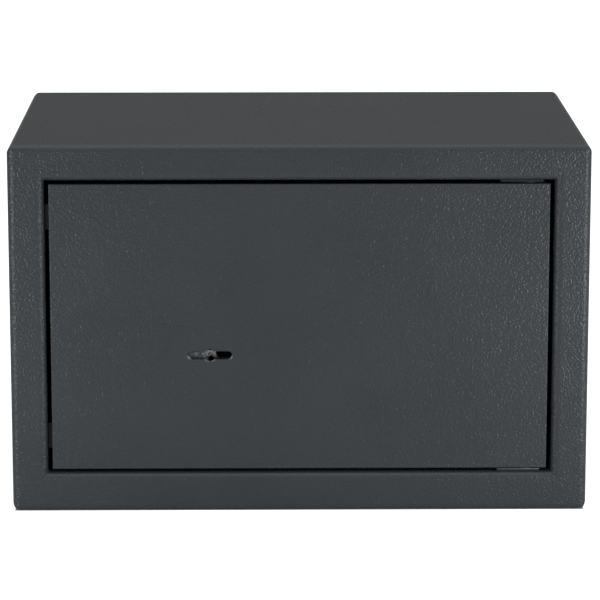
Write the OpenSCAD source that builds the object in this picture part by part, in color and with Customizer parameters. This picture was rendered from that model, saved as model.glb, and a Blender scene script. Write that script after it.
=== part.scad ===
// Small steel key safe with one hinged door, two round bolts and a five-lever lock.
// X runs to the right, Y runs from front to back, Z runs up.
// The origin is at the middle of the underside.

/* [Body] */
// Overall width, left to right
body_w = 310; // [250:1:450]
// Overall depth, front to back
body_d = 200; // [160:1:400]
// Overall height
body_h = 200; // [165:1:400]
// Thickness of the folded sheet of the body
sheet = 1.2; // [0.8:0.1:1.5]
// Depth of the front frame and of the back panel, front to back
tray_depth = 12; // [11:0.5:25]
// Bend radius along the front edges and along the rear top and bottom edges
edge_r = 3.5; // [2.5:0.1:6]
// Radius of the four long corners, seen from the front
corner_r = 5; // [2.5:0.1:8]
// Radius of the two upright rear corners, seen from above
rear_r = 6; // [2.5:0.1:10]

/* [Front frame] */
// Width of the frame at the left and at the right of the door opening
frame_side = 19.3; // [17:0.1:30]
// Height of the frame over the door opening
frame_top = 19.3; // [12:0.1:30]
// Height of the frame under the door opening
frame_bottom = 21; // [12:0.1:30]
// Bend radius where the frame turns inwards around the door
lip_r = 4.4; // [2:0.1:4.5]
// Depth of the turned lip, measured from the front face
lip_depth = 9; // [8:0.1:9.5]

/* [Door] */
// Thickness of the door plate
door_t = 3; // [2:0.1:4]
// Distance from the frame's face back to the door's face
door_recess = 2; // [1:0.1:3]
// Gap between door and lip at the left and at the right
door_gap_side = 2.4; // [2:0.1:4]
// Gap between door and lip at the top and at the bottom
door_gap_end = 1.9; // [1.7:0.1:4]
// Distance from the door's left edge to the middle of the keyhole
key_inset = 85.3; // [75:0.1:110]
// Height of the keyhole's middle below the middle of the door
key_drop = 15.1; // [5:0.1:17]
// Length of the keyhole slot
key_slot_l = 24.2; // [16:0.1:25]
// Height of the keyhole slot
key_slot_h = 4.8; // [4.3:0.1:5.4]
// Diameter of the round part in the middle of the keyhole
key_bore_d = 7.4; // [6:0.1:9]

/* [Hinge] */
// Diameter of the hinge pins
pin_d = 5; // [3:0.1:6]
// Distance from the door's right edge to the hinge axis
pin_inset = 11; // [9:0.1:12]
// Distance from the back of the door plate to the hinge axis
pin_depth = 3; // [2.6:0.1:3.5]
// Width of the hinge plates
hinge_plate_w = 23.6; // [18:0.1:24]
// Thickness of the hinge plates
hinge_plate_t = 1.2; // [0.8:0.1:1.2]
// Height of the door's hinge lugs
lug_h = 12; // [8:0.5:20]
// Space that is left free between moving faces at the hinges
hinge_play = 0.1; // [0.05:0.01:0.15]

/* [Door housing] */
// Depth of the housing behind the door plate
housing_depth = 25; // [24:0.5:40]
// Thickness of the housing's sheet
housing_t = 1.2; // [0.8:0.1:2]
// Distance from the door's left edge to the housing
housing_inset_left = 5.6; // [5.2:0.1:8]
// Distance from the door's right edge to the housing
housing_inset_right = 29.3; // [22:0.1:60]
// Distance from the door's top and bottom edges to the housing
housing_inset_end = 6; // [4:0.1:7]

/* [Bolts] */
// Diameter of the two round bolts
bolt_d = 14; // [8:0.1:16]
// Travel of the bolts
bolt_throw = 16; // [14:0.1:16]
// Height of each bolt above and below the middle of the door
bolt_spread = 44; // [40:0.5:60]
// Distance from the back of the door plate to the bolts' axes
bolt_depth = 12; // [11.5:0.1:12.5]

/* [Lock] */
// Thickness of one lever
lever_t = 1.6; // [1:0.1:1.8]
// Space between two levers
lever_gap = 0.5; // [0.3:0.05:0.7]
// Diameter of the post on which the levers turn
post_d = 5; // [4:0.1:6]
// Diameter of the fence pin that passes through the levers' gates
fence_d = 4; // [3:0.1:5]
// Diameter of the drive pin in the core
drive_pin_d = 5; // [4:0.1:5]

/* [Clearances] */
// Radial clearance of parts that turn or slide in a hole
run_fit = 0.05; // [0.02:0.01:0.1]
// Clearance between flat parts that pass each other
slide_fit = 0.3; // [0.2:0.05:0.4]

/* [Fixing] */
// Diameter of the anchor holes in the floor and in the back
anchor_d = 10; // [6:0.5:14]
// Distance between the two anchor holes of a pair
anchor_spacing = 180; // [100:1:220]
// Height of the back panel's anchor holes above the underside
anchor_z = 110; // [60:1:130]
// Thickness of the felt mat on the floor
mat_t = 2.5; // [1:0.1:5]

/* [Hidden] */
$fn = 48;

// Body and opening
front_y = -body_d / 2;
back_y = body_d / 2;
open_w = body_w - 2 * frame_side;
open_z0 = frame_bottom;
open_z1 = body_h - frame_top;
lip_y = front_y + lip_depth;
far = 2 * (body_w + body_d + body_h);

// Door
door_w = open_w - 2 * door_gap_side;
door_left = -door_w / 2;
door_right = door_w / 2;
door_z0 = open_z0 + door_gap_end;
door_z1 = open_z1 - door_gap_end;
door_mid = (door_z0 + door_z1) / 2;
door_y0 = front_y + door_recess;
door_y1 = door_y0 + door_t;
door_edge_r = 0.6;

// Hinge
washer_t = door_gap_end - hinge_plate_t - 2 * hinge_play;
pin_x = door_right - pin_inset;
pin_y = door_y1 + pin_depth;
pin_short = 2;
hinge_plate_right = 7.8;
hinge_plate_setback = 3.5;
hinge_plate_tail = 10;
hinge_plate_r = 1.5;
hinge_plate_x0 = pin_x + hinge_plate_right - hinge_plate_w;
hinge_plate_y0 = front_y + hinge_plate_setback;
hinge_plate_y1 = pin_y + hinge_plate_tail;
lug_z0 = open_z0 + hinge_plate_t + washer_t + hinge_play;
lug_z1 = open_z1 - hinge_plate_t - washer_t - hinge_play;
pin_l = hinge_plate_t + washer_t + lug_h - pin_short;
washer_w = 2;
lug_r = 5.5;
lug_foot = 9;
lug_foot_t = 1.5;

// Rubber door stops on the left lip
stop_reach = 5;
stop_w = 14;
stop_z = 60;
stop_play = 0.2;

// Housing behind the door
housing_x0 = door_left + housing_inset_left;
housing_x1 = door_right - housing_inset_right;
housing_z0 = door_z0 + housing_inset_end;
housing_z1 = door_z1 - housing_inset_end;
housing_y1 = door_y1 + housing_depth;
housing_r = 3;
housing_rim = 11;
cover_t = 1;
cover_screw_r = 3.5;
cover_screw_h = 1.8;
cover_screw_inset = 6;

// Lock case, laid out around the key's axis
key_x = door_left + key_inset;
key_z = door_mid - key_drop;
case_left = 40;
case_right = 34;
case_half_h = 21;
case_wall = 1.2;
case_front_t = 2;
case_cover_t = 1.5;
case_depth = 21.5;
case_y0 = door_y1;
case_y1 = door_y1 + case_depth;
lock_screw_r = 3;
lock_screw_h = 1.6;
lock_screw_inset = 5;

// Slide plate and bolt bar
plate_depth = 17.7;
plate_y0 = door_y1 + plate_depth;
plate_t = 2.5;
plate_edge = 3;
plate_y1 = plate_y0 + plate_t;
plate_half_h = 14;
bar_t = 3;
bolt_y = door_y1 + bolt_depth;
bolt_proud = 2;
bolt_tip_x = housing_x0 - bolt_proud;
guide_in = 6.5;
guide_out = 0.8;
guide_play = 1;
bar_x0 = housing_x0 + housing_t + guide_in + guide_play + bolt_throw;
bar_x1 = bar_x0 + bar_t;
bar_margin = 2.4;
guide_wall = 2.2;
bolt_chamfer = 1.2;
bolt_screw_r = 5;
bolt_screw_h = 3.5;
upper_bolt_z = door_mid + bolt_spread;
lower_bolt_z = door_mid - bolt_spread;

// Guide studs and the arms that slide on them
stud_r = 2.5;
stud_shoulder_r = 4;
stud_offset = 10;
stud_x = bar_x1 + stud_offset;
arm_half_h = 5.5;
arm_gap = 3;
stud_dz = case_half_h + arm_gap + arm_half_h;
arm_end = 4;
arm_x1 = stud_x + bolt_throw + stud_r + arm_end;
clip_r = 4.6;
clip_t = 1;

// Key core
core_r = 13.5;
core_recess = 1;
core_y0 = door_y1 + core_recess;
core_disc_t = 2.5;
barrel_r = 7;
cam_r = 13;
cam_t = 2;
cam_play = 0.5;
cam_y1 = plate_y0 - cam_play;
journal_r = 3;
crank_r = bolt_throw / 2;
groove_depth = 1.2;
core_slot_spare = 0.1;
core_slot_l = key_slot_l / 2 + core_slot_spare;
core_slot_u = 5.5;
key_tip_r = 1.6;
key_tip_w = 2.9;
key_tip_u = 0.5;
key_notch_w = 1.9;
drive_pin_proud = 0.4;

// How far the pin's true path strays from an even travel, as a share of the throw
crank_stray = 0.1053;
talon_play = 0.15;
talon_clear = 0.5;
talon_half_w = drive_pin_d / 2 + crank_stray * bolt_throw + talon_play;

// Levers
post_u = 27;
lever_play = 0.7;
lever_y0 = core_y0 + core_disc_t + lever_play;
lever_pitch = lever_t + lever_gap;
fence_u = -16;
fence_clear = 0.25;
fence_foot = 0.2;
lever_ring_r = 15.5;
lever_window_r = 12.2;
lever_drop = 4.5;
lever_eye_w = 3;
lever_neck_x = 11;
lever_neck_half_h = 5;
lever_tail_x = 10;
lever_tail_end = 5;
lever_tail_top = 11;
lever_belly = 6;
lever_belly_step = 0.4;
pocket_play = 0.1;
pocket_over = 0.4;
gate_half_h = fence_d / 2 + fence_clear;

// Lever springs
spring_t = 0.4;
spring_lift = 1.6;
spring_reach = 22;
spring_margin = 0.2;
spring_bite = 1;
spring_block_w = 4;

// Little helpers

module along_y(y0, y1) {
    translate([0, y1, 0]) rotate([90, 0, 0]) linear_extrude(height = y1 - y0) children();
}

module along_x(x0, x1) {
    translate([x0, 0, 0]) rotate([90, 0, 90]) linear_extrude(height = x1 - x0) children();
}

module along_z(z0, z1) {
    translate([0, 0, z0]) linear_extrude(height = z1 - z0) children();
}

module block(x0, x1, y0, y1, z0, z1) {
    translate([x0, y0, z0]) cube([x1 - x0, y1 - y0, z1 - z0]);
}

module rod_x(x0, x1, r, y, z) {
    translate([x0, y, z]) rotate([0, 90, 0]) cylinder(r = r, h = x1 - x0);
}

module rod_y(y0, y1, r, x, z) {
    translate([x, y1, z]) rotate([90, 0, 0]) cylinder(r = r, h = y1 - y0);
}

// Flat rectangle from (x0, y0) to (x1, y1)
module rect(x0, x1, y0, y1) {
    translate([x0, y0]) square([x1 - x0, y1 - y0]);
}

// Flat rectangle with four round corners
module round_rect(x0, x1, y0, y1, r) {
    rect(x0 + r, x1 - r, y0, y1);
    rect(x0, x1, y0 + r, y1 - r);
    for (x = [x0 + r, x1 - r]) {
        for (y = [y0 + r, y1 - r]) {
            translate([x, y]) circle(r = r);
        }
    }
}

// Slot with round ends between two points on one level
module slot(x0, x1, y, r) {
    rect(x0, x1, y - r, y + r);
    for (x = [x0, x1]) {
        translate([x, y]) circle(r = r);
    }
}

// Body shells. Each is the overlap of a front view, a plan and a side view, so that
// its bent edges run into round corners. inset is the distance in from the outer skin.

module front_view(inset) {
    r = corner_r - inset;
    round_rect(-body_w / 2 + inset, body_w / 2 - inset, inset, body_h - inset, r);
}

module front_block(inset) {
    r = edge_r - inset;
    y0 = front_y + inset;
    y1 = front_y + tray_depth;
    intersection() {
        along_y(y0, y1) front_view(inset);
        along_z(0, body_h) {
            round_rect(-body_w / 2 + inset, body_w / 2 - inset, y0, y1 + tray_depth, r);
        }
        along_x(-body_w / 2, body_w / 2) {
            round_rect(y0, y1 + tray_depth, inset, body_h - inset, r);
        }
    }
}

module back_block(inset) {
    r = edge_r - inset;
    y0 = back_y - tray_depth;
    y1 = back_y - inset;
    intersection() {
        along_y(y0, y1) front_view(inset);
        along_z(0, body_h) {
            round_rect(-body_w / 2 + inset, body_w / 2 - inset, y0 - 2 * tray_depth, y1, rear_r - inset);
        }
        along_x(-body_w / 2, body_w / 2) {
            round_rect(y0 - 2 * tray_depth, y1, inset, body_h - inset, r);
        }
    }
}

// Outline of a space that flares out at the front by a quarter circle on each side.
// a runs across the space and b runs from front to back.
module flare(a0, a1, b0, b1, r) {
    rect(a0, a1, b0, b1);
    difference() {
        rect(a0 - r, a1 + r, b0, b0 + r);
        translate([a0 - r, b0 + r]) circle(r = r);
        translate([a1 + r, b0 + r]) circle(r = r);
    }
}

// Space of the door opening, grown by grow on all sides and starting at depth b0
module opening(grow, b0, b1, r) {
    intersection() {
        along_z(0, body_h) flare(-open_w / 2 - grow, open_w / 2 + grow, b0, b1, r);
        along_x(-body_w / 2, body_w / 2) {
            mirror([1, -1]) flare(open_z0 - grow, open_z1 + grow, b0, b1, r);
        }
    }
}

module front_frame() {
    color("#47494c") difference() {
        union() {
            difference() {
                front_block(0);
                front_block(sheet);
            }
            opening(sheet, front_y + sheet, lip_y, lip_r - sheet);
        }
        opening(0, front_y, lip_y + far, lip_r);
    }
}

module casing() {
    y0 = front_y + tray_depth;
    y1 = back_y - tray_depth;
    color("#47494c") difference() {
        along_y(y0, y1) difference() {
            front_view(0);
            front_view(sheet);
        }
        for (x = [-1, 1] * anchor_spacing / 2) {
            translate([x, 0, -1]) cylinder(d = anchor_d, h = sheet + 2);
        }
    }
}

module back_panel() {
    color("#47494c") difference() {
        back_block(0);
        back_block(sheet);
        for (x = [-1, 1] * anchor_spacing / 2) {
            rod_y(back_y - sheet - 1, back_y + 1, anchor_d / 2, x, anchor_z);
        }
    }
}

module floor_mat() {
    side = body_w / 2 - corner_r - slide_fit;
    rear = back_y - max(rear_r, edge_r) - slide_fit;
    color("#26282a") difference() {
        along_z(sheet, sheet + mat_t) {
            round_rect(-side, side, front_y + tray_depth, rear, rear_r);
        }
        for (x = [-1, 1] * anchor_spacing / 2) {
            translate([x, 0, 0]) cylinder(d = anchor_d + 4, h = sheet + mat_t + 1);
        }
    }
}

// Hinges

module hinge_plate(z0, z1) {
    difference() {
        along_z(z0, z1) {
            round_rect(hinge_plate_x0, hinge_plate_x0 + hinge_plate_w, hinge_plate_y0, hinge_plate_y1,
                hinge_plate_r);
        }
        translate([pin_x, pin_y, z0 - 1]) cylinder(d = pin_d, h = z1 - z0 + 2);
    }
}

module hinge_plate_lower() {
    color("#9a9c9e") hinge_plate(open_z0, open_z0 + hinge_plate_t);
}

module hinge_plate_upper() {
    color("#47494c") hinge_plate(open_z1 - hinge_plate_t, open_z1);
}

module hinge_pin_lower() {
    color("#b0b2b4") translate([pin_x, pin_y, open_z0]) cylinder(d = pin_d, h = pin_l);
}

module hinge_pin_upper() {
    color("#b0b2b4") translate([pin_x, pin_y, open_z1 - pin_l]) cylinder(d = pin_d, h = pin_l);
}

module hinge_washers() {
    color("#202123") for (z = [open_z0 + hinge_plate_t, open_z1 - hinge_plate_t - washer_t]) {
        along_z(z, z + washer_t) translate([pin_x, pin_y]) difference() {
            circle(r = pin_d / 2 + washer_w);
            circle(r = pin_d / 2);
        }
    }
}

module hinge_lug(z0) {
    color("#47494c") along_z(z0, z0 + lug_h) difference() {
        union() {
            rect(pin_x - lug_foot, pin_x + lug_foot, door_y1, door_y1 + lug_foot_t);
            rect(pin_x - lug_r, pin_x + lug_r, door_y1, pin_y);
            intersection() {
                translate([pin_x, pin_y]) circle(r = lug_r);
                rect(pin_x - lug_r, pin_x + lug_r, door_y1, pin_y + lug_r);
            }
        }
        translate([pin_x, pin_y]) circle(r = pin_d / 2 + run_fit);
    }
}

module hinge_lug_lower() {
    hinge_lug(lug_z0);
}

module hinge_lug_upper() {
    hinge_lug(lug_z1 - lug_h);
}

module door_stops() {
    color("#1b1c1d") for (z = [door_mid - stop_z, door_mid + stop_z]) {
        block(-open_w / 2, -open_w / 2 + stop_reach, door_y1 + stop_play, door_y1 + stop_play + sheet,
            z - stop_w / 2, z + stop_w / 2);
    }
}

// Door

// Keyhole seen from the front, grown by grow
module keyhole(grow) {
    r = key_slot_h / 2 + grow;
    end = key_slot_l / 2 - key_slot_h / 2;
    slot(key_x - end, key_x + end, key_z, r);
    translate([key_x, key_z]) circle(d = key_bore_d + 2 * grow);
}

module door_plate() {
    color("#494b4e") difference() {
        intersection() {
            along_y(door_y0, door_y1) rect(door_left, door_right, door_z0, door_z1);
            along_z(door_z0, door_z1) {
                round_rect(door_left, door_right, door_y0, door_y1 + 2 * door_edge_r, door_edge_r);
            }
            along_x(door_left, door_right) {
                round_rect(door_y0, door_y1 + 2 * door_edge_r, door_z0, door_z1, door_edge_r);
            }
        }
        along_y(door_y0 - 1, door_y1 + 1) keyhole(0);
    }
}

module door_housing() {
    r = housing_r;
    in = housing_t;
    color("#47494c") difference() {
        along_y(door_y1, housing_y1) round_rect(housing_x0, housing_x1, housing_z0, housing_z1, r);
        along_y(door_y1 - 1, housing_y1 - in) {
            round_rect(housing_x0 + in, housing_x1 - in, housing_z0 + in, housing_z1 - in, r - in);
        }
        along_y(door_y1, housing_y1 + 1) {
            rect(housing_x0 + housing_rim, housing_x1 - housing_rim,
                housing_z0 + housing_rim, housing_z1 - housing_rim);
        }
        for (z = [upper_bolt_z, lower_bolt_z]) {
            rod_x(housing_x0 - 1, housing_x0 + in + 1, bolt_d / 2 + guide_wall, bolt_y, z);
        }
    }
}

module rear_cover() {
    color("#47494c") along_y(housing_y1, housing_y1 + cover_t) {
        round_rect(housing_x0, housing_x1, housing_z0, housing_z1, housing_r);
    }
}

module cover_screws() {
    x0 = housing_x0 + cover_screw_inset;
    x1 = housing_x1 - cover_screw_inset;
    z0 = housing_z0 + cover_screw_inset;
    z1 = housing_z1 - cover_screw_inset;
    color("#a8aaac") for (x = [x0, (x0 + x1) / 2, x1]) {
        for (z = [z0, z1]) {
            rod_y(housing_y1 + cover_t, housing_y1 + cover_t + cover_screw_h, cover_screw_r, x, z);
        }
    }
}

// Lock case and what is fixed in it

module lock_case() {
    x0 = key_x - case_left;
    x1 = key_x + case_right;
    z0 = key_z - case_half_h;
    z1 = key_z + case_half_h;
    color("#8d8f90") difference() {
        block(x0, x1, case_y0, case_y1, z0, z1);
        block(x0 + case_wall, x1 - case_wall, case_y0 + case_front_t, case_y1 + 1,
            z0 + case_wall, z1 - case_wall);
        rod_y(case_y0 - 1, case_y0 + case_front_t + 1, core_r + run_fit, key_x, key_z);
        block(x0 - 1, x0 + case_wall + 1, plate_y0 - slide_fit, plate_y1 + slide_fit,
            key_z - plate_half_h - slide_fit, key_z + plate_half_h + slide_fit);
    }
}

module lock_case_cover() {
    color("#8d8f90") along_y(case_y1, case_y1 + case_cover_t) difference() {
        rect(key_x - case_left, key_x + case_right, key_z - case_half_h, key_z + case_half_h);
        translate([key_x, key_z]) circle(r = journal_r + run_fit);
    }
}

module lock_screws() {
    inset = lock_screw_inset;
    color("#a8aaac") for (x = [key_x - case_left + inset, key_x + case_right - inset]) {
        for (z = [-1, 1] * (case_half_h - inset)) {
            rod_y(case_y1 + case_cover_t, case_y1 + case_cover_t + lock_screw_h, lock_screw_r, x, key_z + z);
        }
    }
}

module lever_post() {
    color("#b0b2b4") rod_y(case_y0 + case_front_t, case_y1, post_d / 2, key_x + post_u, key_z);
}

module lever_springs() {
    leaf_z = key_z + lever_ring_r + spring_lift;
    leaf_x0 = key_x - spring_reach;
    leaf_x1 = key_x + post_u;
    color("#c8c9ca") {
        block(leaf_x1, leaf_x1 + spring_block_w, lever_y0, lever_y0 + 5 * lever_pitch - lever_gap,
            leaf_z - spring_bite, key_z + case_half_h - case_wall);
        for (i = [0:4]) {
            block(leaf_x0, leaf_x1 + spring_bite, lever_y0 + i * lever_pitch + spring_margin,
                lever_y0 + i * lever_pitch + lever_t - spring_margin, leaf_z, leaf_z + spring_t);
        }
    }
}

module bolt_guides() {
    x0 = housing_x0 - guide_out;
    x1 = housing_x0 + housing_t + guide_in;
    color("#c9a94e") for (z = [upper_bolt_z, lower_bolt_z]) {
        difference() {
            rod_x(x0, x1, bolt_d / 2 + guide_wall, bolt_y, z);
            rod_x(x0 - 1, x1 + 1, bolt_d / 2 + run_fit, bolt_y, z);
        }
    }
}

module guide_studs() {
    color("#b0b2b4") for (z = [-1, 1] * stud_dz) {
        union() {
            rod_y(door_y1, plate_y0 - slide_fit, stud_shoulder_r, stud_x, key_z + z);
            rod_y(door_y1, plate_y1 + slide_fit + clip_t, stud_r, stud_x, key_z + z);
        }
    }
}

module guide_clips() {
    color("#c8c9ca") for (z = [-1, 1] * stud_dz) {
        along_y(plate_y1 + slide_fit, plate_y1 + slide_fit + clip_t) {
            translate([stud_x, key_z + z]) difference() {
                circle(r = clip_r);
                circle(r = stud_r);
            }
        }
    }
}

// Bolt carriage, drawn back

module bolt_bar() {
    z0 = lower_bolt_z - bolt_d / 2 - bar_margin;
    z1 = upper_bolt_z + bolt_d / 2 + bar_margin;
    y0 = bolt_y - bolt_d / 2;
    r = stud_r + run_fit;
    color("#a4a6a8") difference() {
        union() {
            block(bar_x0, bar_x1, y0, plate_y1, z0, z1);
            for (z = [-1, 1] * stud_dz) {
                block(bar_x1 - 1, arm_x1, plate_y0, plate_y1, key_z + z - arm_half_h, key_z + z + arm_half_h);
            }
        }
        for (z = [-1, 1] * stud_dz) {
            along_y(plate_y0 - 1, plate_y1 + 1) {
                slot(stud_x, stud_x + bolt_throw, key_z + z, r);
            }
        }
    }
}

module slide_plate() {
    x1 = key_x + bolt_throw + journal_r + plate_edge;
    talon_x = key_x + crank_r;
    below = drive_pin_d / 2 + talon_clear;
    above = crank_r + drive_pin_d / 2 + talon_clear;
    color("#b8a468") along_y(plate_y0, plate_y1) difference() {
        rect(bar_x1, x1, key_z - plate_half_h, key_z + plate_half_h);
        rect(talon_x - talon_half_w, talon_x + talon_half_w, key_z - below, key_z + above);
        slot(key_x, key_x + bolt_throw, key_z, journal_r + slide_fit);
    }
}

module gate_pin() {
    y0 = core_y0 + core_disc_t + fence_foot;
    color("#b0b2b4") rod_y(y0, plate_y0, fence_d / 2, key_x + fence_u, key_z);
}

module bolt(z) {
    chamfer = bolt_chamfer;
    r = bolt_d / 2;
    color("#c4c6c8") translate([bolt_tip_x, bolt_y, z]) rotate([0, 90, 0]) {
        rotate_extrude() polygon([
            [0, 0], [r - chamfer, 0], [r, chamfer], [r, bar_x0 - bolt_tip_x], [0, bar_x0 - bolt_tip_x]
        ]);
    }
}

module upper_bolt() {
    bolt(upper_bolt_z);
}

module lower_bolt() {
    bolt(lower_bolt_z);
}

module bolt_screws() {
    color("#a8aaac") for (z = [upper_bolt_z, lower_bolt_z]) {
        translate([bar_x1, bolt_y, z]) rotate([0, 90, 0]) cylinder(r = bolt_screw_r, h = bolt_screw_h, $fn = 6);
    }
}

// Key core

module key_core() {
    r = key_slot_h / 2;
    disc_y1 = core_y0 + core_disc_t;
    color("#8a8c8d") difference() {
        union() {
            rod_y(core_y0, disc_y1, core_r, key_x, key_z);
            rod_y(core_y0, cam_y1, barrel_r, key_x, key_z);
            rod_y(cam_y1 - cam_t, cam_y1, cam_r, key_x, key_z);
            rod_y(cam_y1 - cam_t, case_y1 + case_cover_t, journal_r, key_x, key_z);
        }
        along_y(core_y0 - 1, cam_y1 - cam_t) {
            slot(key_x + core_slot_u, key_x + core_slot_l - r, key_z, r);
        }
        along_y(core_y0 - 1, core_y0 + groove_depth) {
            slot(key_x - core_slot_l + r, key_x + core_slot_u, key_z, r);
            translate([key_x, key_z]) circle(d = key_bore_d);
        }
        along_y(core_y0 - 1, cam_y1 - cam_t) intersection() {
            translate([key_x, key_z]) circle(d = key_bore_d);
            rect(key_x - key_bore_d, key_x + key_bore_d, key_z + key_notch_w, key_z + key_bore_d);
        }
        rod_y(core_y0 - 1, cam_y1 - cam_t, key_tip_r, key_x + key_tip_u, key_z - key_tip_w);
        rod_y(cam_y1 - cam_t - 1, cam_y1 + 1, drive_pin_d / 2, key_x + crank_r, key_z);
    }
}

module drive_pin() {
    color("#b0b2b4") {
        rod_y(cam_y1 - cam_t, plate_y1 + drive_pin_proud, drive_pin_d / 2, key_x + crank_r, key_z);
    }
}

// Levers, lifted so that their gates line up with the fence pin. Each pair of pockets
// above the gate holds the fence once the lever drops.

module lever(i) {
    y0 = lever_y0 + (i - 1) * lever_pitch;
    reach = bolt_throw;
    fence_x = key_x + fence_u;
    pocket = gate_half_h + pocket_play;
    near = (post_u - fence_u) * sin(lever_drop) + gate_half_h + pocket_over;
    distant = (post_u - fence_u + reach) * sin(lever_drop) + gate_half_h + pocket_over;
    belly = lever_belly + lever_belly_step * i;
    color("#c2a04a") along_y(y0, y0 + lever_t) difference() {
        union() {
            translate([key_x, key_z]) circle(r = lever_ring_r);
            translate([key_x + post_u, key_z]) circle(r = post_d / 2 + lever_eye_w);
            rect(key_x + lever_neck_x, key_x + post_u, key_z - lever_neck_half_h,
                key_z + lever_neck_half_h);
            rect(fence_x - reach - lever_tail_end, key_x - lever_tail_x, key_z - belly,
                key_z + lever_tail_top);
        }
        translate([key_x, key_z]) circle(r = lever_window_r);
        translate([key_x + post_u, key_z]) circle(r = post_d / 2 + run_fit);
        slot(fence_x - reach, fence_x, key_z, gate_half_h);
        rect(fence_x - pocket, fence_x + pocket, key_z, key_z + near);
        rect(fence_x - reach - pocket, fence_x - reach + pocket, key_z, key_z + distant);
    }
}

front_frame();
casing();
back_panel();
hinge_plate_lower();
hinge_plate_upper();
hinge_pin_lower();
hinge_pin_upper();
hinge_washers();
door_stops();
floor_mat();
door_plate();
hinge_lug_lower();
hinge_lug_upper();
door_housing();
rear_cover();
cover_screws();
lock_case();
lock_case_cover();
lock_screws();
lever_post();
lever_springs();
bolt_guides();
guide_studs();
guide_clips();
bolt_bar();
slide_plate();
gate_pin();
upper_bolt();
lower_bolt();
bolt_screws();
key_core();
drive_pin();
lever(1);  // lever_1
lever(2);  // lever_2
lever(3);  // lever_3
lever(4);  // lever_4
lever(5);  // lever_5
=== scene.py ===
"""Looks of a small key safe: powder-coated sheet steel, flush door, two round bolts, lever lock."""
import math

import bmesh
import bpy
from mathutils import Matrix, Vector


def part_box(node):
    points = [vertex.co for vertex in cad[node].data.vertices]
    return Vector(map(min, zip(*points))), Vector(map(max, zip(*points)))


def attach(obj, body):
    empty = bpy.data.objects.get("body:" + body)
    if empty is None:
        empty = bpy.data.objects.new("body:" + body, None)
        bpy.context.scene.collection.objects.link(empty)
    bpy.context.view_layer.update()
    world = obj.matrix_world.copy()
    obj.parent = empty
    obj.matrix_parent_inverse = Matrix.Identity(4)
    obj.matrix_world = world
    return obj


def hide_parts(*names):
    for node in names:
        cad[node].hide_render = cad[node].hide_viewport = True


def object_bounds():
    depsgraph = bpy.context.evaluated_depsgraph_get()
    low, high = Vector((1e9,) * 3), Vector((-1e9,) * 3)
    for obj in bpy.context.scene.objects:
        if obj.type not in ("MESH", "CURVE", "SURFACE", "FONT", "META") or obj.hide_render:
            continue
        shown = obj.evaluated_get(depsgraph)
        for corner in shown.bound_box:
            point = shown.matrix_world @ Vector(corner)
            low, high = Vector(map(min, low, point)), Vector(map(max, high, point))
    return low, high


MM = 0.001

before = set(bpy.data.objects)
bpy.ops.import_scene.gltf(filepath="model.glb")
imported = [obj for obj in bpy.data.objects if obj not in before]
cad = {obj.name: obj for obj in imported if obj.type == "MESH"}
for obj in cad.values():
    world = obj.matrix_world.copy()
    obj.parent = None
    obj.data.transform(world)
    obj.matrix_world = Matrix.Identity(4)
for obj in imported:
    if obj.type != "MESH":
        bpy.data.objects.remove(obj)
cad_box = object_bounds()


# Camera: a long lens well in front of the safe and above it, so that edges converge only a little.
# The lens and sensor are in millimetres, and the reach is in metres.

CAMERA_AT = Vector((-18, -1742, 464)) * MM
CAMERA_LOOK = Vector((0.0111, 1, -0.2117))
CAMERA_LENS = 188.7
CAMERA_SENSOR = 36
CAMERA_REACH = 50


def add_camera():
    """The camera that the scene is seen through."""
    data = bpy.data.cameras.new("camera")
    data.lens = CAMERA_LENS
    data.sensor_width = CAMERA_SENSOR
    data.clip_end = CAMERA_REACH
    camera = bpy.data.objects.new("camera", data)
    bpy.context.collection.objects.link(camera)
    camera.location = CAMERA_AT
    camera.rotation_euler = CAMERA_LOOK.to_track_quat("-Z", "Y").to_euler()
    bpy.context.scene.camera = camera


add_camera()


# Helpers for materials. A Mix node's colour sockets share their names with its number sockets, so
# they go by their places.

COLOUR_A = 6
COLOUR_B = 7
COLOUR_OUT = 2


def linear(hex_colour):
    """An sRGB hex colour as linear red, green, blue and an alpha of 1."""
    channels = [int(hex_colour[i:i + 2], 16) / 255 for i in (1, 3, 5)]
    out = [c / 12.92 if c <= 0.04045 else ((c + 0.055) / 1.055) ** 2.4 for c in channels]
    return (*out, 1)


def per_mm(spacing):
    """The texture scale that puts a pattern's features spacing millimetres apart."""
    return 1 / (spacing * MM)


def node(tree, kind, inputs=None, **settings):
    """Adds a node. settings are its attributes, and inputs are its sockets' values or what links
    to them."""
    made = tree.nodes.new(kind)
    for name, value in settings.items():
        setattr(made, name, value)
    for name, value in (inputs or {}).items():
        socket = made.inputs[name]
        if isinstance(value, bpy.types.NodeSocket):
            tree.links.new(value, socket)
        else:
            socket.default_value = value
    return made


def start_material(name):
    """A new material, its empty tree, and the coordinates of the piece's own mesh."""
    material = bpy.data.materials.new(name)
    material.use_nodes = True
    tree = material.node_tree
    tree.nodes.clear()
    return material, tree, node(tree, "ShaderNodeTexCoord").outputs["Object"]


# Materials. The dark colour below is a mist of spray coat, and painted shade on the hinge plate.

THIN_COAT_SHADE = "#26292C"


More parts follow.
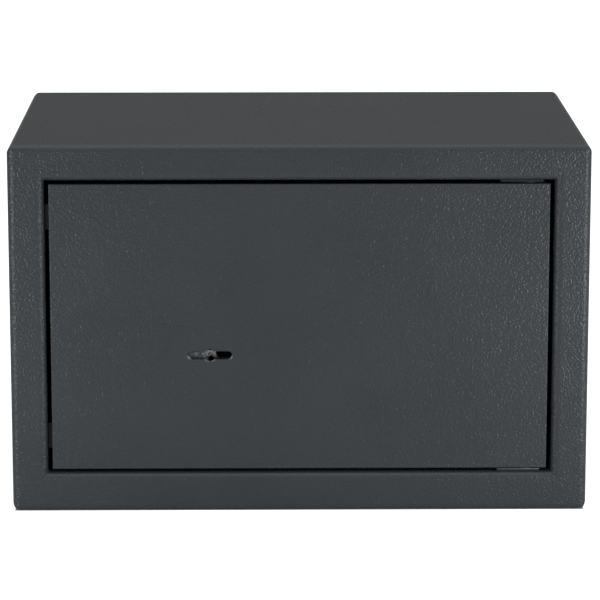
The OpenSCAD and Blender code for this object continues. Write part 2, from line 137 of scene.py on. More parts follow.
def powder_coat():
    """Anthracite polyester powder coat, sprayed dry and baked on sheet steel. It flows out into a
    leathery orange peel of soft lumps that catch glints from the side, and levels on the top."""
    material, tree, place = start_material("anthracite_powder_coat")
    lumps = node(tree, "ShaderNodeTexNoise", {
        "Vector": place, "Scale": per_mm(1.0), "Detail": 1.5, "Roughness": 0.5})
    creases = node(tree, "ShaderNodeTexVoronoi", {
        "Vector": place, "Scale": per_mm(1.4), "Smoothness": 0.7}, feature="SMOOTH_F1")
    raised = node(tree, "ShaderNodeMath", {
        0: 1.0, 1: creases.outputs["Distance"]}, operation="SUBTRACT")
    peel = node(tree, "ShaderNodeMix", {
        "Factor": 0.35, "A": lumps.outputs["Fac"], "B": raised.outputs[0]}, data_type="FLOAT")
    upward = node(tree, "ShaderNodeSeparateXYZ", {
        "Vector": node(tree, "ShaderNodeNewGeometry").outputs["True Normal"]})
    levelled = node(tree, "ShaderNodeMapRange", {
        "Value": upward.outputs["Z"], "From Min": 0.2, "From Max": 0.8,
        "To Min": 1.0, "To Max": 0.12})
    bump = node(tree, "ShaderNodeBump", {
        "Height": peel.outputs[0], "Distance": 0.62 * MM, "Strength": levelled.outputs["Result"]})
    cloud = node(tree, "ShaderNodeTexNoise", {"Vector": place, "Scale": per_mm(42), "Detail": 3.0})
    thickness = node(tree, "ShaderNodeMapRange", {
        "Value": cloud.outputs["Fac"], "From Min": 0.3, "From Max": 0.7})
    colour = node(tree, "ShaderNodeMix", {
        "Factor": thickness.outputs["Result"],
        COLOUR_A: linear("#3D4246"), COLOUR_B: linear("#41464A")}, data_type="RGBA")
    gloss = node(tree, "ShaderNodeMapRange", {
        "Value": lumps.outputs["Fac"], "From Min": 0.3, "From Max": 0.7,
        "To Min": 0.28, "To Max": 0.2})
    shader = node(tree, "ShaderNodeBsdfPrincipled", {
        "Base Color": colour.outputs[COLOUR_OUT], "Roughness": gloss.outputs["Result"],
        "IOR": 1.5, "Normal": bump.outputs["Normal"]})
    node(tree, "ShaderNodeOutputMaterial", {"Surface": shader.outputs[0]})
    return material


# The height over which the dark coat, painted shade on the hinge plate, gives way to bare plating

COAT_SHADE_FADES = 0.1 * MM


def zinc_plate(name, bare_above):
    """Bright zinc plating on rolled sheet steel: bluish white with faint yellow passivation stains
    and rolling streaks along the sheet, drawn coarser than the real 0.1 mm so that they show. Up
    to the height bare_above it is dark coat, which on the hinge plate is painted shade."""
    material, tree, place = start_material(name)
    stains = node(tree, "ShaderNodeTexNoise", {"Vector": place, "Scale": per_mm(5), "Detail": 4.0})
    stained = node(tree, "ShaderNodeMapRange", {
        "Value": stains.outputs["Fac"], "From Min": 0.35, "From Max": 0.7})
    colour = node(tree, "ShaderNodeMix", {
        "Factor": stained.outputs["Result"],
        COLOUR_A: linear("#A9AEB2"), COLOUR_B: linear("#858272")}, data_type="RGBA")
    height = node(tree, "ShaderNodeSeparateXYZ", {"Vector": place}).outputs["Z"]
    bare_lit = node(tree, "ShaderNodeMapRange", {
        "Value": height, "From Min": bare_above, "From Max": bare_above + COAT_SHADE_FADES})
    # Painted shade: below bare_above the plating is dark coat.
    coat_shade_mix = node(tree, "ShaderNodeMix", {
        "Factor": bare_lit.outputs["Result"],
        COLOUR_A: linear(THIN_COAT_SHADE), COLOUR_B: colour.outputs[COLOUR_OUT]}, data_type="RGBA")
    rolled = node(tree, "ShaderNodeMapping", {"Vector": place, "Scale": (0.04, 1, 1)})
    streaks = node(tree, "ShaderNodeTexNoise", {
        "Vector": rolled.outputs[0], "Scale": per_mm(0.5), "Detail": 3.0})
    rough = node(tree, "ShaderNodeMapRange", {
        "Value": streaks.outputs["Fac"], "From Min": 0.3, "From Max": 0.7,
        "To Min": 0.24, "To Max": 0.42})
    bump = node(tree, "ShaderNodeBump", {
        "Height": streaks.outputs["Fac"], "Distance": 0.03 * MM, "Strength": 0.6})
    shader = node(tree, "ShaderNodeBsdfPrincipled", {
        "Base Color": coat_shade_mix.outputs[COLOUR_OUT], "Metallic": bare_lit.outputs["Result"],
        "Roughness": rough.outputs["Result"], "Normal": bump.outputs["Normal"]})
    node(tree, "ShaderNodeOutputMaterial", {"Surface": shader.outputs[0]})
    return material


def turned_steel(name, along, dark, light, smoothest, roughest):
    """Steel bar turned on a lathe and plated. The tool leaves fine rings round the bar, which lies
    along the axis where along is 1, and they are drawn coarser than the real 0.15 mm so that they
    show. A little soot and oil clouds the shine."""
    material, tree, place = start_material(name)
    rings = node(tree, "ShaderNodeMapping", {
        "Vector": place, "Scale": [1.0 if is_axis else 0.03 for is_axis in along]})
    feed = node(tree, "ShaderNodeTexNoise", {
        "Vector": rings.outputs[0], "Scale": per_mm(0.35), "Detail": 3.0})
    smears = node(tree, "ShaderNodeTexNoise", {"Vector": place, "Scale": per_mm(6), "Detail": 4.0})
    colour = node(tree, "ShaderNodeMix", {
        "Factor": smears.outputs["Fac"],
        COLOUR_A: linear(dark), COLOUR_B: linear(light)}, data_type="RGBA")
    mixed = node(tree, "ShaderNodeMix", {
        "Factor": 0.5, "A": feed.outputs["Fac"], "B": smears.outputs["Fac"]}, data_type="FLOAT")
    rough = node(tree, "ShaderNodeMapRange", {
        "Value": mixed.outputs[0], "From Min": 0.35, "From Max": 0.65,
        "To Min": smoothest, "To Max": roughest})
    bump = node(tree, "ShaderNodeBump", {
        "Height": feed.outputs["Fac"], "Distance": 0.02 * MM, "Strength": 0.5})
    shader = node(tree, "ShaderNodeBsdfPrincipled", {
        "Base Color": colour.outputs[COLOUR_OUT], "Metallic": 1.0,
        "Roughness": rough.outputs["Result"], "Normal": bump.outputs["Normal"]})
    node(tree, "ShaderNodeOutputMaterial", {"Surface": shader.outputs[0]})
    return material


def rolled_brass():
    """Half-hard brass sheet, stamped and tumbled: warm yellow, browner where it has tarnished. The
    marks of tumbling are drawn coarser than the real 0.1 mm so that they show."""
    material, tree, place = start_material("rolled_brass")
    tarnish = node(tree, "ShaderNodeTexNoise", {"Vector": place, "Scale": per_mm(7), "Detail": 5.0})
    tarnished = node(tree, "ShaderNodeMapRange", {
        "Value": tarnish.outputs["Fac"], "From Min": 0.4, "From Max": 0.75})
    colour = node(tree, "ShaderNodeMix", {
        "Factor": tarnished.outputs["Result"],
        COLOUR_A: linear("#C9A55B"), COLOUR_B: linear("#8E6C38")}, data_type="RGBA")
    tumbled = node(tree, "ShaderNodeTexNoise", {
        "Vector": place, "Scale": per_mm(0.4), "Detail": 2.0})
    rough = node(tree, "ShaderNodeMapRange", {
        "Value": tumbled.outputs["Fac"], "From Min": 0.3, "From Max": 0.7,
        "To Min": 0.22, "To Max": 0.4})
    bump = node(tree, "ShaderNodeBump", {
        "Height": tumbled.outputs["Fac"], "Distance": 0.02 * MM, "Strength": 0.5})
    shader = node(tree, "ShaderNodeBsdfPrincipled", {
        "Base Color": colour.outputs[COLOUR_OUT], "Metallic": 1.0,
        "Roughness": rough.outputs["Result"], "Normal": bump.outputs["Normal"]})
    node(tree, "ShaderNodeOutputMaterial", {"Surface": shader.outputs[0]})
    return material


# Painted shade on the core begins a little behind its front and is full deeper in

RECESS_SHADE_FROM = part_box("key_core")[0].y + 1.4 * MM
RECESS_SHADE_FULL = RECESS_SHADE_FROM + 2.5 * MM


def cast_zinc():
    """Zinc alloy cast in a steel mould, as it left the mould: grey, pitted and mottled by flow
    marks. Behind the face that the key meets, it darkens to near black with depth: painted shade."""
    material, tree, place = start_material("cast_zinc_alloy")
    pits = node(tree, "ShaderNodeTexNoise", {
        "Vector": place, "Scale": per_mm(1.1), "Detail": 3.0, "Roughness": 0.65})
    mottled = node(tree, "ShaderNodeMapRange", {
        "Value": pits.outputs["Fac"], "From Min": 0.35, "From Max": 0.65})
    colour = node(tree, "ShaderNodeMix", {
        "Factor": mottled.outputs["Result"],
        COLOUR_A: linear("#232527"), COLOUR_B: linear("#B2B6B9")}, data_type="RGBA")
    depth = node(tree, "ShaderNodeSeparateXYZ", {"Vector": place})
    # Painted shade: the core darkens towards black with depth behind its front.
    recess_shade = node(tree, "ShaderNodeMapRange", {
        "Value": depth.outputs["Y"], "From Min": RECESS_SHADE_FROM, "From Max": RECESS_SHADE_FULL})
    with_recess_shade = node(tree, "ShaderNodeMix", {
        "Factor": recess_shade.outputs["Result"],
        COLOUR_A: colour.outputs[COLOUR_OUT], COLOUR_B: linear("#070707")}, data_type="RGBA")
    rough = node(tree, "ShaderNodeMapRange", {
        "Value": pits.outputs["Fac"], "From Min": 0.35, "From Max": 0.65,
        "To Min": 0.6, "To Max": 0.3})
    bump = node(tree, "ShaderNodeBump", {
        "Height": pits.outputs["Fac"], "Distance": 0.5 * MM, "Strength": 1.0})
    shader = node(tree, "ShaderNodeBsdfPrincipled", {
        "Base Color": with_recess_shade.outputs[COLOUR_OUT], "Metallic": 1.0,
        "Roughness": rough.outputs["Result"], "Normal": bump.outputs["Normal"]})
    node(tree, "ShaderNodeOutputMaterial", {"Surface": shader.outputs[0]})
    return material


def punched_steel():
    """Edge of the keyhole, where the punch sheared the steel: streaked along the cut, coarser than
    the real 0.1 mm so that it shows, and thinly coated. Bare bright steel is a painted highlight on
    the lower corners of its round parts, where the walls face up and to the side."""
    material, tree, place = start_material("punched_steel_edge")
    drawn = node(tree, "ShaderNodeMapping", {"Vector": place, "Scale": (1, 0.1, 1)})
    shear = node(tree, "ShaderNodeTexNoise", {
        "Vector": drawn.outputs[0], "Scale": per_mm(0.6), "Detail": 2.0})
    colour = node(tree, "ShaderNodeMix", {
        "Factor": shear.outputs["Fac"],
        COLOUR_A: linear("#C9CCCE"), COLOUR_B: linear("#F2F3F4")}, data_type="RGBA")
    facing = node(tree, "ShaderNodeSeparateXYZ", {
        "Vector": node(tree, "ShaderNodeNewGeometry").outputs["True Normal"]})
    sideways = node(tree, "ShaderNodeMath", {0: facing.outputs["X"]}, operation="ABSOLUTE")
    corner = node(tree, "ShaderNodeMapRange", {
        "Value": sideways.outputs[0], "From Min": 0.05, "From Max": 0.22})
    lower = node(tree, "ShaderNodeMapRange", {
        "Value": facing.outputs["Z"], "From Min": 0.0, "From Max": 0.2})
    # Painted highlight: bare bright steel where the wall faces up and to the side.
    bare_lit = node(tree, "ShaderNodeMath", {
        0: corner.outputs["Result"], 1: lower.outputs["Result"]}, operation="MULTIPLY")
    edge = node(tree, "ShaderNodeMix", {
        "Factor": bare_lit.outputs[0],
        COLOUR_A: linear(THIN_COAT_SHADE), COLOUR_B: colour.outputs[COLOUR_OUT]}, data_type="RGBA")
    rough = node(tree, "ShaderNodeMapRange", {
        "Value": shear.outputs["Fac"], "From Min": 0.3, "From Max": 0.7,
        "To Min": 0.3, "To Max": 0.48})
    bump = node(tree, "ShaderNodeBump", {
        "Height": shear.outputs["Fac"], "Distance": 0.04 * MM, "Strength": 0.6})
    shader = node(tree, "ShaderNodeBsdfPrincipled", {
        "Base Color": edge.outputs[COLOUR_OUT], "Metallic": bare_lit.outputs[0],
        "Roughness": rough.outputs["Result"], "Normal": bump.outputs["Normal"]})
    node(tree, "ShaderNodeOutputMaterial", {"Surface": shader.outputs[0]})
    return material


def needle_felt():
    """Charcoal needle felt of short polyester fibres, punched together: matt, with a soft sheen of
    loose fibre ends. The fibres are drawn coarser than the real 0.05 mm so that they show."""
    material, tree, place = start_material("needle_felt")
    fibres = node(tree, "ShaderNodeTexNoise", {
        "Vector": place, "Scale": per_mm(0.9), "Detail": 6.0, "Roughness": 0.75, "Distortion": 1.2})
    tufts = node(tree, "ShaderNodeTexNoise", {"Vector": place, "Scale": per_mm(7), "Detail": 3.0})
    shown = node(tree, "ShaderNodeMapRange", {
        "Value": fibres.outputs["Fac"], "From Min": 0.35, "From Max": 0.7})
    colour = node(tree, "ShaderNodeMix", {
        "Factor": shown.outputs["Result"],
        COLOUR_A: linear("#1B1C1E"), COLOUR_B: linear("#3A3C40")}, data_type="RGBA")
    pile = node(tree, "ShaderNodeMix", {
        "Factor": 0.4, "A": fibres.outputs["Fac"], "B": tufts.outputs["Fac"]}, data_type="FLOAT")
    bump = node(tree, "ShaderNodeBump", {
        "Height": pile.outputs[0], "Distance": 0.8 * MM, "Strength": 0.8})
    shader = node(tree, "ShaderNodeBsdfPrincipled", {
        "Base Color": colour.outputs[COLOUR_OUT], "Roughness": 0.95,
        "Sheen Weight": 0.3, "Sheen Roughness": 0.6, "Normal": bump.outputs["Normal"]})
    node(tree, "ShaderNodeOutputMaterial", {"Surface": shader.outputs[0]})
    return material


def buffer_rubber():
    """Moulded nitrile rubber, near black as painted shade of the door gap: satin, with lighter dust
    in the grain.
    """
    material, tree, place = start_material("moulded_rubber")
    grain = node(tree, "ShaderNodeTexNoise", {"Vector": place, "Scale": per_mm(0.8), "Detail": 3.0})
    bloom = node(tree, "ShaderNodeMapRange", {
        "Value": grain.outputs["Fac"], "From Min": 0.45, "From Max": 0.75})
    colour = node(tree, "ShaderNodeMix", {
        "Factor": bloom.outputs["Result"],
        COLOUR_A: linear("#0D0E0E"), COLOUR_B: linear("#1C1D1E")}, data_type="RGBA")
    bump = node(tree, "ShaderNodeBump", {
        "Height": grain.outputs["Fac"], "Distance": 0.08 * MM, "Strength": 0.6})
    shader = node(tree, "ShaderNodeBsdfPrincipled", {
        "Base Color": colour.outputs[COLOUR_OUT], "Roughness": 0.62, "IOR": 1.52,
        "Normal": bump.outputs["Normal"]})
    node(tree, "ShaderNodeOutputMaterial", {"Surface": shader.outputs[0]})
    return material


def near_black_shade_steel():
    """Thin, dull near-black steel: painted shade, so that the upper hinge plate reads as gap shade."""
    material, tree, place = start_material("near_black_painted_shade")
    drops = node(tree, "ShaderNodeTexNoise", {"Vector": place, "Scale": per_mm(2.5), "Detail": 3.0})
    colour = node(tree, "ShaderNodeMix", {
        "Factor": drops.outputs["Fac"],
        COLOUR_A: linear("#0C0D0E"), COLOUR_B: linear("#16181A")}, data_type="RGBA")
    bump = node(tree, "ShaderNodeBump", {
        "Height": drops.outputs["Fac"], "Distance": 0.04 * MM, "Strength": 0.5})
    shader = node(tree, "ShaderNodeBsdfPrincipled", {
        "Base Color": colour.outputs[COLOUR_OUT], "Roughness": 0.55, "IOR": 1.5,
        "Normal": bump.outputs["Normal"]})
    node(tree, "ShaderNodeOutputMaterial", {"Surface": shader.outputs[0]})
    return material


def moulded_nylon():
    """Moulded nylon, near black as painted shade of the door gap, with a soft greasy shine and faint
    flow marks.
    """
    material, tree, place = start_material("moulded_nylon_painted_shade")
    flow = node(tree, "ShaderNodeTexNoise", {"Vector": place, "Scale": per_mm(1.5), "Detail": 3.0})
    colour = node(tree, "ShaderNodeMix", {
        "Factor": flow.outputs["Fac"],
        COLOUR_A: linear("#101112"), COLOUR_B: linear("#1C1D1F")}, data_type="RGBA")
    bump = node(tree, "ShaderNodeBump", {
        "Height": flow.outputs["Fac"], "Distance": 0.03 * MM, "Strength": 0.5})
    shader = node(tree, "ShaderNodeBsdfPrincipled", {
        "Base Color": colour.outputs[COLOUR_OUT], "Roughness": 0.42, "IOR": 1.53,
        "Normal": bump.outputs["Normal"]})
    node(tree, "ShaderNodeOutputMaterial", {"Surface": shader.outputs[0]})
    return material


# The lower hinge plate is dark coat, painted shade for the door gap, all but its upper rim, and
# other plating is bare from a height in metres that is below every piece.

BARE_RIM = 0.42 * MM
BELOW_ALL = -1
RIM_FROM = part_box("hinge_plate_lower")[1].z - BARE_RIM
PLATED = {"dark": "#8E9092", "light": "#B9BBBC", "smoothest": 0.2, "roughest": 0.36}
CHROMED = {"dark": "#BFC2C4", "light": "#DADCDD", "smoothest": 0.08, "roughest": 0.2}
LEVERS = 5

coat = powder_coat()
zinc = zinc_plate("zinc_plated_sheet", bare_above=BELOW_ALL)
hinge_zinc = zinc_plate("zinc_plated_hinge", bare_above=RIM_FROM)
pin_steel = turned_steel("turned_steel_upright", along=(0, 0, 1), **PLATED)
stud_steel = turned_steel("turned_steel_level", along=(0, 1, 0), **PLATED)
chrome = turned_steel("chromed_bolt_bar", along=(1, 0, 0), **CHROMED)
brass = rolled_brass()
cast = cast_zinc()
edge_with_highlight = punched_steel()
mat_felt = needle_felt()
rubber = buffer_rubber()
nylon = moulded_nylon()
shade_black = near_black_shade_steel()

FINISHES = {
    coat: ["front_frame", "casing", "back_panel", "door_plate", "hinge_lug_lower",
           "hinge_lug_upper", "door_housing", "rear_cover"],
    # Painted shade: the upper hinge plate is near black to read as the gap's shade.
    shade_black: ["hinge_plate_upper"],
    # Painted shade: the lower hinge plate is dark coat below its bright rim.
    hinge_zinc: ["hinge_plate_lower"],
    zinc: ["lock_case", "lock_case_cover", "bolt_bar", "cover_screws", "lock_screws",
           "bolt_screws"],
    pin_steel: ["hinge_pin_lower", "hinge_pin_upper"],
    stud_steel: ["lever_post", "guide_studs", "guide_clips", "gate_pin", "drive_pin",
                 "lever_springs"],
    chrome: ["upper_bolt", "lower_bolt"],
    # Painted shade: the hinge washers are near black to read as the gap's shade.
    nylon: ["hinge_washers"],
    brass: ["bolt_guides", "slide_plate", *(f"lever_{i + 1}" for i in range(LEVERS))],
    cast: ["key_core"],
    mat_felt: ["floor_mat"],
    # Painted shade: the door buffers are near black to read as the gap's shade.
    rubber: ["door_stops"],
}


def coat_nodes():
    """Gives each node its finish."""
    for material, names in FINISHES.items():
        for name in names:
            mesh = cad[name].data
            mesh.materials.clear()
            mesh.materials.append(material)


coat_nodes()


# Helpers for pieces. Points nearer than MERGE become one, and edges bent over SHARP stay sharp.

MERGE = 0.001 * MM
SHARP = math.radians(35)
ALONG_X = Vector((1, 0, 0)).to_track_quat("Z", "Y").to_matrix().to_4x4()
ALONG_Y = Vector((0, 1, 0)).to_track_quat("Z", "Y").to_matrix().to_4x4()


def finish_piece(name, shape, material, slot, rides_on, *stands_for):
    """Makes a bmesh a finished object at the origin, smooth but for its sharp edges. It rides on a
    body and stands for the nodes that it is drawn instead of."""
    bmesh.ops.recalc_face_normals(shape, faces=shape.faces[:])
    for face in shape.faces:
        face.smooth = True
    for edge in shape.edges:
        edge.smooth = edge.calc_face_angle(0) < SHARP
    mesh = bpy.data.meshes.new(name)
    shape.to_mesh(mesh)
    shape.free()
    mesh.materials.append(material)
    piece = bpy.data.objects.new(name, mesh)
    bpy.context.collection.objects.link(piece)
    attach(piece, rides_on)
    if stands_for:
        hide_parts(*stands_for)


def spread(shape, places):
    """Copies a bmesh's shape to each of the places, which are matrices, and drops the first."""
    first = shape.verts[:] + shape.edges[:] + shape.faces[:]
    pattern = shape.verts[:]
    for place in places:
        copy = bmesh.ops.duplicate(shape, geom=first)
        moved = [part for part in copy["geom"] if isinstance(part, bmesh.types.BMVert)]
        bmesh.ops.transform(shape, matrix=place, verts=moved)
    bmesh.ops.delete(shape, geom=pattern, context="VERTS")


def turn_outline(outline, steps):
    """Turns an outline of radius and height, in millimetres, round the Z axis."""
    shape = bmesh.new()
    points = [shape.verts.new((radius * MM, 0, height * MM)) for radius, height in outline]
    edges = [shape.edges.new(pair) for pair in zip(points, points[1:])]
    bmesh.ops.spin(shape, geom=points + edges, axis=(0, 0, 1), cent=(0, 0, 0),
                   angle=math.tau, steps=steps, use_merge=True)
    bmesh.ops.remove_doubles(shape, verts=shape.verts[:], dist=MERGE)
    return shape


def copy_node(name):
    """A bmesh of a CAD node's mesh, with its loose triangles joined."""
    shape = bmesh.new()
    shape.from_mesh(cad[name].data)
    bmesh.ops.remove_doubles(shape, verts=shape.verts[:], dist=MERGE)
    return shape


# Screws. ROUND is the number of sides that a turned head has.

ROUND = 40


def pan_head(radius, height):
    """A pan head with a cross recess, standing on the origin and facing up. Sizes in metres."""
    crown = height * 0.6
    slot_depth = height * 0.55
    half_slot = radius * 0.11
    arm = radius * 0.5
    shape = bmesh.new()
    bmesh.ops.create_cone(shape, cap_ends=True, segments=ROUND, radius1=radius, radius2=radius,
                          depth=height, matrix=Matrix.Translation((0, 0, height / 2)))
    rim = [edge for edge in shape.edges if min(vert.co.z for vert in edge.verts) > height * 0.9]
    bmesh.ops.bevel(shape, geom=rim, offset=crown, segments=5, profile=0.5, affect="EDGES",
                    material=-1)
    for across in (Vector((1, 0, 0)), Vector((0, 1, 0))):
        for far in (-arm, -half_slot, half_slot, arm):
            top = [face for face in shape.faces if face.calc_center_median().z > height - MERGE]
            cut = list(dict.fromkeys(part for face in top for part in (face, *face.edges, *face.verts)))
            bmesh.ops.bisect_plane(shape, geom=cut, plane_co=across * far, plane_no=across)
    recess = [face for face in shape.faces
              if in_cross(face.calc_center_median(), height, half_slot, arm)]
    made = bmesh.ops.extrude_face_region(shape, geom=recess)
    floor = [part for part in made["geom"] if isinstance(part, bmesh.types.BMVert)]
    bmesh.ops.translate(shape, verts=floor, vec=(0, 0, -slot_depth))
    bmesh.ops.delete(shape, geom=recess, context="FACES_ONLY")
    return shape


def in_cross(middle, height, half_slot, arm):
    """Whether a face on top of a screw's head lies within its cross."""
    far = max(abs(middle.x), abs(middle.y))
    near = min(abs(middle.x), abs(middle.y))
    return middle.z > height - MERGE and near < half_slot and far < arm


def add_cover_screws():
    """Six screws that hold the door's rear cover, along its top and bottom edges."""
    low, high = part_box("cover_screws")
    radius = 3.5 * MM
    rows = [low.z + radius, high.z - radius]
    columns = [low.x + radius, (low.x + high.x) / 2, high.x - radius]
    turns_in_radians = [0.3, 1.1, 0.7, 1.4, 0.1, 0.9]
    shape = pan_head(radius, high.y - low.y)
    places = [Vector((x, low.y, z)) for x in columns for z in rows]
    spread(shape, [Matrix.Translation(place) @ ALONG_Y @ Matrix.Rotation(turn, 4, "Z")
                   for place, turn in zip(places, turns_in_radians)])
    finish_piece("cover_pan_screws", shape, zinc, "zinc_plated_steel", "door", "cover_screws")


def add_lock_screws():
    """Four screws that hold the lock case's cover."""
    low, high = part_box("lock_screws")
    radius = 3 * MM
    shape = pan_head(radius, high.y - low.y)
    corners = [Vector((x, low.y, z)) for x in (low.x + radius, high.x - radius)
               for z in (low.z + radius, high.z - radius)]
    spread(shape, [Matrix.Translation(corner) @ ALONG_Y for corner in corners])
    finish_piece("lock_pan_screws", shape, zinc, "zinc_plated_steel", "door", "lock_screws")


def add_bolt_screws():
    """Hexagon screws with a round flange that hold the bolts to their bar."""
    low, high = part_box("bolt_screws")
    radius = 5 * MM
    height = high.x - low.x
    flange = 0.2 * height
    flange_foot = 0.99 * radius
    flange_top = 0.94 * radius
    to_corner = 0.9 * radius
    corner_cut = 0.9 * MM
    shape = bmesh.new()
    bmesh.ops.create_cone(shape, cap_ends=True, segments=ROUND, radius1=flange_foot,
                          radius2=flange_top, depth=flange,
                          matrix=Matrix.Translation((0, 0, flange / 2)))
    hexagon = bmesh.ops.create_cone(shape, cap_ends=True, segments=6, radius1=to_corner,
                                    radius2=to_corner, depth=height - flange,
                                    matrix=Matrix.Translation((0, 0, (height + flange) / 2)))
    corners = [vert for vert in hexagon["verts"] if vert.co.z > height * 0.9]
    bmesh.ops.bevel(shape, geom=corners, offset=corner_cut, segments=2, profile=0.5,
                    affect="VERTICES", material=-1)
    middle_y = (low.y + high.y) / 2
    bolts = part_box("lower_bolt"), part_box("upper_bolt")
    levels = [(bolt_low.z + bolt_high.z) / 2 for bolt_low, bolt_high in bolts]
    spread(shape, [Matrix.Translation((low.x, middle_y, level)) @ ALONG_X for level in levels])
    finish_piece("bolt_hex_screws", shape, zinc, "zinc_plated_steel", "bolt_carriage", "bolt_screws")


# Bolts, buffers, mat and keyhole

def add_bolt(node_name):
    """A round bolt with a rounded nose and the small mark of the lathe's centre in its tip."""
    low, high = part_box(node_name)
    length = (high.x - low.x) / MM
    radius = (high.z - low.z) / MM / 2
    centre_mark = [(0, 0.9), (0.25, 0.7), (0.9, 0)]
    nose = [(radius - 1.5, 0), (radius - 1, 0.1), (radius - 0.55, 0.32), (radius - 0.22, 0.7),
            (radius - 0.05, 1.15), (radius, 1.7)]
    bar = [(radius, length), (0, length)]
    shape = turn_outline(centre_mark + nose + bar, steps=64)
    place = Matrix.Translation((low.x, (low.y + high.y) / 2, (low.z + high.z) / 2)) @ ALONG_X
    bmesh.ops.transform(shape, matrix=place, verts=shape.verts[:])
    finish_piece(f"{node_name}_turned", shape, chrome, "chromed_bolt", "bolt_carriage", node_name)


def add_door_buffers():
    """Two rubber buffers on the left lip that the door closes against."""
    low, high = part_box("door_stops")
    length = 14 * MM
    rounding = 0.45 * MM
    size = (high.x - low.x, high.y - low.y, length)
    shape = bmesh.new()
    bmesh.ops.create_cube(shape, size=1, matrix=Matrix.Diagonal((*size, 1)))
    bmesh.ops.bevel(shape, geom=shape.edges[:], offset=rounding, segments=4, profile=0.5,
                    affect="EDGES", material=-1)
    middle = (low + high) / 2
    levels = (low.z + length / 2, high.z - length / 2)
    spread(shape, [Matrix.Translation((middle.x, middle.y, level)) for level in levels])
    finish_piece("door_buffers", shape, rubber, "rubber", "root", "door_stops")


def add_floor_felt():
    """The felt on the cabin's floor, cut out round the anchor holes, with softened upper edges."""
    flat = math.radians(1)
    softening = 0.9 * MM
    shape = copy_node("floor_mat")
    bmesh.ops.dissolve_limit(shape, angle_limit=flat, verts=shape.verts[:], edges=shape.edges[:])
    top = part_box("floor_mat")[1].z
    outline = [edge for edge in shape.edges if min(vert.co.z for vert in edge.verts) > top - MERGE]
    bmesh.ops.bevel(shape, geom=outline, offset=softening, segments=3, profile=0.5,
                    affect="EDGES", material=-1)
    finish_piece("floor_felt", shape, mat_felt, "felt", "root", "floor_mat")


def add_keyhole_edge():
    """The sheared steel of the keyhole's wall, as a thin lining whose mouth the key wore round. It
    is copied from the walls that lie inside the door plate's outline."""
    margin = 10 * MM
    lining = 0.3 * MM
    worn = 0.27 * MM
    low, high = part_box("door_plate")
    shape = copy_node("door_plate")
    inner = {face for face in shape.faces if abs(face.normal.y) < 0.1
             and low.x + margin < face.calc_center_median().x < high.x - margin
             and low.z + margin < face.calc_center_median().z < high.z - margin}
    others = [face for face in shape.faces if face not in inner]
    bmesh.ops.delete(shape, geom=others, context="FACES")
    wall = set(shape.verts)
    bmesh.ops.solidify(shape, geom=shape.faces[:], thickness=-lining)
    mouth = [edge for edge in shape.edges if not wall & set(edge.verts)
             and max(vert.co.y for vert in edge.verts) < low.y + MERGE]
    bmesh.ops.bevel(shape, geom=mouth, offset=worn, segments=3, profile=0.5, affect="EDGES",
                    material=-1)
    finish_piece("keyhole_edge", shape, edge_with_highlight, "turned_steel", "door")


def add_housing_welds():
    """Short coated fillet welds that hold the housing to the door plate."""
    low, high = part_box("door_housing")
    steps = 28
    length = 11
    crest = 1.15
    trough = 1.0
    shares_along = (0.12, 0.5, 0.85)
    shares_up = (0.2, 0.72)
    outline = [(0, 0)]
    for step in range(1, steps):
        swell = 1 - abs(2 * step / steps - 1) ** 6
        outline.append((swell * (crest if step % 2 else trough), length * step / steps))
    outline.append((0, length))
    shape = turn_outline(outline, steps=16)
    places = []
    for z in (low.z, high.z):
        for share in shares_along:
            x = low.x + (high.x - low.x) * share
            places.append(Matrix.Translation((x, low.y, z)) @ ALONG_X)
    for share in shares_up:
        places.append(Matrix.Translation((high.x, low.y, low.z + (high.z - low.z) * share)))
    spread(shape, places)
    finish_piece("housing_welds", shape, coat, "powder_coat", "door")


add_cover_screws()
add_lock_screws()
add_bolt_screws()
add_bolt("upper_bolt")
add_bolt("lower_bolt")
add_door_buffers()
add_floor_felt()
add_keyhole_edge()
add_housing_welds()


# Floor and light. The floor's half size is in metres, and its glow ends GLOW_INSET inside the
# safe's outline.

FLOOR_HALF = 30
FLOOR_GLOW = 0.94
FLOOR_CARD = (0.82, 0.82, 0.82, 1)
GLOW_INSET = 1 * MM


def add_floor():
    """White studio floor: a pale card that glows white to the eye and gives off no light itself. It
    doesn't glow under the safe, where it would shine through the anchor holes."""
    shape = bmesh.new()
    bmesh.ops.create_grid(shape, x_segments=1, y_segments=1, size=FLOOR_HALF)
    mesh = bpy.data.meshes.new("floor")
    shape.to_mesh(mesh)
    shape.free()
    floor = bpy.data.objects.new("floor", mesh)
    bpy.context.collection.objects.link(floor)
    material, tree, place = start_material("white_floor")
    sides = node(tree, "ShaderNodeSeparateXYZ", {"Vector": place})
    beyond = []
    for axis, half in (("X", cad_box[1].x), ("Y", cad_box[1].y)):
        out = node(tree, "ShaderNodeMath", {0: sides.outputs[axis]}, operation="ABSOLUTE")
        beyond.append(node(tree, "ShaderNodeMath", {
            0: out.outputs[0], 1: half - GLOW_INSET}, operation="GREATER_THAN").outputs[0])
    outside = node(tree, "ShaderNodeMath", {0: beyond[0], 1: beyond[1]}, operation="MAXIMUM")
    strength = node(tree, "ShaderNodeMath", {
        0: outside.outputs[0], 1: FLOOR_GLOW}, operation="MULTIPLY")
    glow = node(tree, "ShaderNodeEmission", {
        "Color": (1, 1, 1, 1), "Strength": strength.outputs[0]})
    card = node(tree, "ShaderNodeBsdfDiffuse", {"Color": FLOOR_CARD})
    lit = node(tree, "ShaderNodeAddShader", {0: glow.outputs[0], 1: card.outputs[0]})
    seen = node(tree, "ShaderNodeLightPath").outputs["Is Camera Ray"]
    mix = node(tree, "ShaderNodeMixShader", {"Fac": seen, 1: card.outputs[0], 2: lit.outputs[0]})
    node(tree, "ShaderNodeOutputMaterial", {"Surface": mix.outputs[0]})
    mesh.materials.append(material)


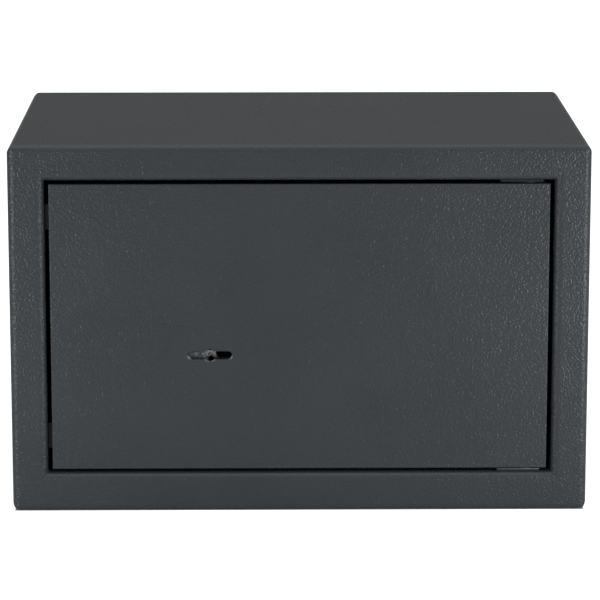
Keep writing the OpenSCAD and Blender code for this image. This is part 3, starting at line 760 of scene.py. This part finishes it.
def add_world():
    """A white room to the eye. As a light, its walls are dim behind the safe and brighter in front
    and to the right, and its ceiling is the brightest."""
    world = bpy.data.worlds.new("studio")
    world.use_nodes = True
    bpy.context.scene.world = world
    tree = world.node_tree
    tree.nodes.clear()
    towards = node(tree, "ShaderNodeTexCoord").outputs["Generated"]
    axes = node(tree, "ShaderNodeSeparateXYZ", {"Vector": towards})
    depth = node(tree, "ShaderNodeMapRange", {
        "Value": axes.outputs["Y"], "From Min": -1.0, "From Max": 0.6,
        "To Min": 0.24, "To Max": 0.12})
    side = node(tree, "ShaderNodeMapRange", {
        "Value": axes.outputs["X"], "From Min": -1.0, "From Max": 1.0,
        "To Min": 0.8, "To Max": 1.2})
    walls = node(tree, "ShaderNodeMath", {
        0: depth.outputs["Result"], 1: side.outputs["Result"]}, operation="MULTIPLY")
    ceiling = node(tree, "ShaderNodeMapRange", {
        "Value": axes.outputs["Z"], "From Min": 0.2, "From Max": 1.0,
        "To Min": 0.0, "To Max": 0.5})
    level = node(tree, "ShaderNodeMath", {
        0: walls.outputs[0], 1: ceiling.outputs["Result"]}, operation="ADD")
    room = node(tree, "ShaderNodeBackground", {
        "Color": (0.97, 0.99, 1, 1), "Strength": level.outputs[0]})
    white = node(tree, "ShaderNodeBackground", {"Color": (1, 1, 1, 1), "Strength": 1.0})
    seen = node(tree, "ShaderNodeLightPath").outputs["Is Camera Ray"]
    mix = node(tree, "ShaderNodeMixShader", {"Fac": seen, 1: room.outputs[0], 2: white.outputs[0]})
    node(tree, "ShaderNodeOutputWorld", {"Surface": mix.outputs[0]})


def add_softbox(name, at, aim, size, power, tint=(1, 1, 1)):
    """A rectangular lamp that faces the place aim. Lengths are in metres and power is in watts."""
    data = bpy.data.lights.new(name, "AREA")
    data.shape = "RECTANGLE"
    data.size, data.size_y = size
    data.energy = power
    data.color = tint
    lamp = bpy.data.objects.new(name, data)
    bpy.context.collection.objects.link(lamp)
    lamp.visible_camera = False
    lamp.location = at
    lamp.rotation_euler = (Vector(aim) - Vector(at)).to_track_quat("-Z", "Y").to_euler()


add_floor()
add_world()
add_softbox("softbox_over", at=(0, -0.1, 1.5), aim=(0, 0, 0.1), size=(1.4, 1.0), power=2.2,
            tint=(1, 1, 0.88))
add_softbox("softbox_right", at=(1.3, -1.1, 0.5), aim=(0, -0.1, 0.1), size=(1.2, 1.2), power=2.5)
add_softbox("strip_right", at=(0.36, -0.38, 0.1), aim=(0.13, -0.1, 0.1), size=(0.1, 0.2), power=0.41)
add_softbox("strip_left", at=(-0.38, -0.38, 0.1), aim=(-0.13, -0.1, 0.1), size=(0.1, 0.2), power=0.36)
bpy.context.scene.view_settings.view_transform = "Standard"
